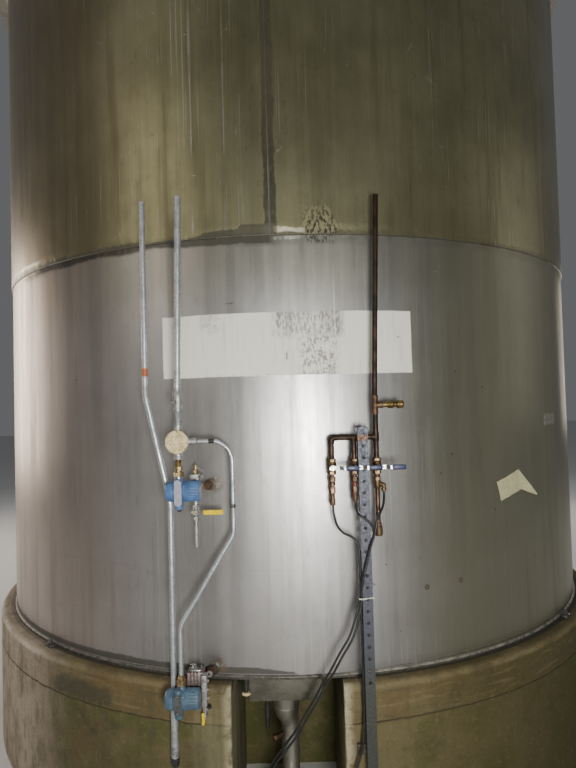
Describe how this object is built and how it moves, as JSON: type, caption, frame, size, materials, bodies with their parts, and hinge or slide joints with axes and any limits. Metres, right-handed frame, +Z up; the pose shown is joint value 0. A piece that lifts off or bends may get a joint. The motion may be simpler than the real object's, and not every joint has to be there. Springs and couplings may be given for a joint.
{
  "type": "vertical storage tank",
  "caption": "Flat-bottomed round steel storage tank on a concrete plinth, with a valved bottom outlet, two level transmitters with conduits, and an air valve manifold on a post.",
  "frame": {"origin": "middle of the plinth's underside, on the floor", "axes": "+Z up, -Y towards the front with the outlet slot and the instruments, +X to the right as seen from the front"},
  "size_m": [3.84, 3.917, 4.777],
  "materials": {
    "concrete": "stained cast concrete",
    "stainless": "weathered mill finish",
    "galvanised": "zinc coated",
    "cast_metal": "cast",
    "blue_paint": "satin",
    "cream_paint": "worn",
    "brass": "tarnished",
    "copper": "dark tarnished copper",
    "yellow_sleeve": "vinyl sleeve",
    "blue_sleeve": "vinyl sleeve",
    "black_hose": "smooth nylon tube",
    "white_nylon": "cable tie"
  },
  "bodies": {
    "tank": {"plinth_lower_lift": "concrete", "plinth_top_lift": "concrete", "tank_floor_plate": "stainless", "shell_lower_course": "stainless", "shell_upper_course": "stainless", "curb_angle": "stainless", "roof_cone": "stainless", "manway_neck": "stainless", "manway_cover": "stainless", "roof_vent": "stainless", "outlet_sump": "stainless", "outlet_reducer": "stainless", "outlet_pipe": "stainless", "outlet_valve": "stainless", "outlet_actuator": "stainless", "bottom_probe": "cream_paint", "long_conduit": "galvanised", "long_conduit_foot": "galvanised", "conduit_standoff": "galvanised", "drop_conduit": "galvanised", "sealing_fitting": "cast_metal", "junction_box": "cast_metal", "junction_box_cover": "cream_paint", "transmitter_union": "brass", "branch_conduit": "galvanised", "branch_connector": "brass", "upper_transmitter": "blue_paint", "lower_transmitter": "blue_paint", "upper_valve_block": "cast_metal", "upper_root_valve": "brass", "lower_valve_block": "cast_metal", "lower_root_valve": "brass", "lower_drain_fitting": "cast_metal", "sample_valve": "cast_metal", "sample_tube": "cream_paint", "strut_post": "galvanised", "post_bracket_lower": "galvanised", "post_bracket_upper": "galvanised", "copper_header": "copper", "copper_drop": "copper", "quick_coupler": "brass", "header_clamp": "galvanised", "air_valve_left": "brass", "air_fitting_left": "brass", "air_valve_middle": "brass", "air_fitting_middle": "brass", "air_valve_right": "brass", "air_fitting_right": "brass", "air_hose_left": "black_hose", "air_hose_middle": "black_hose", "air_hose_right": "black_hose", "hose_tie": "white_nylon", "anchor_clip_1": "cast_metal", "anchor_clip_2": "cast_metal", "anchor_clip_3": "cast_metal", "anchor_clip_4": "cast_metal"},
    "sample_lever": {"sample_lever": "yellow_sleeve"},
    "air_lever_left": {"air_lever_left": "blue_sleeve"},
    "air_lever_middle": {"air_lever_middle": "blue_sleeve"},
    "air_lever_right": {"air_lever_right": "blue_sleeve"}
  },
  "joints": [
    {"name": "sample_lever_turn", "type": "hinge", "parent": "tank", "child": "sample_lever", "pos_m": [-0.404, -1.92, 1.441], "axis": [0, 1, 0], "range_deg": [0, 90]},
    {"name": "air_lever_left_turn", "type": "hinge", "parent": "tank", "child": "air_lever_left", "pos_m": [0.167, -1.975, 1.613], "axis": [0, -1, 0], "range_deg": [0, 90]},
    {"name": "air_lever_middle_turn", "type": "hinge", "parent": "tank", "child": "air_lever_middle", "pos_m": [0.26, -1.975, 1.613], "axis": [0, -1, 0], "range_deg": [0, 90]},
    {"name": "air_lever_right_turn", "type": "hinge", "parent": "tank", "child": "air_lever_right", "pos_m": [0.353, -1.975, 1.613], "axis": [0, -1, 0], "range_deg": [0, 90]}
  ]
}
